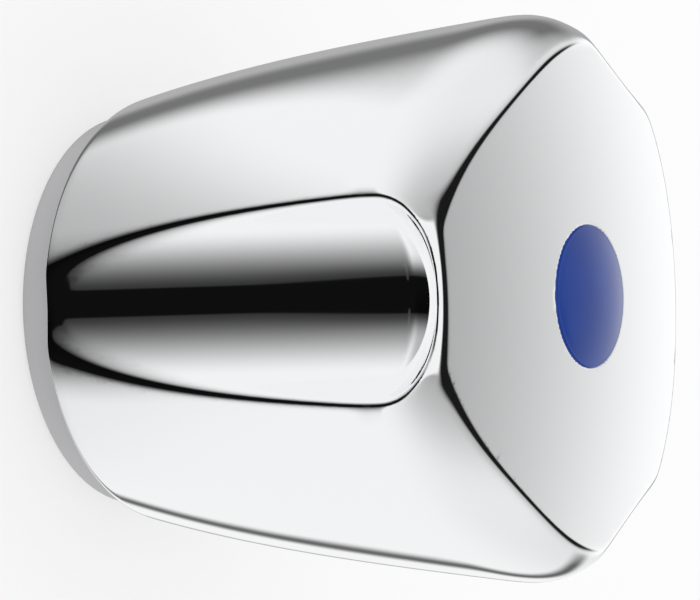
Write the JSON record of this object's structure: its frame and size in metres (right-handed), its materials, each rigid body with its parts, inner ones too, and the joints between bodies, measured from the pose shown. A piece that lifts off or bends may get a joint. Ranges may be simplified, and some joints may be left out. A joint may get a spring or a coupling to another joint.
{
  "type": "tap handle",
  "caption": "Chromed tap handle with rounded lobes, finger recesses, a slightly domed front face with a blue cold index cap, and a splined socket in its hollow base.",
  "frame": {"origin": "centre of the open base, in the plane of the base rim", "axes": "+Z along the handle's axis from the base to the front face, -Y towards the first lobe"},
  "size_m": [0.052, 0.0481, 0.0497],
  "materials": {
    "chrome": "bright chrome plating",
    "index": "glossy blue",
    "insert": "off-white moulded plastic"
  },
  "bodies": {
    "root": {"handle_body": "chrome", "index_cap": "index", "spline_insert": "insert"}
  },
  "joints": []
}
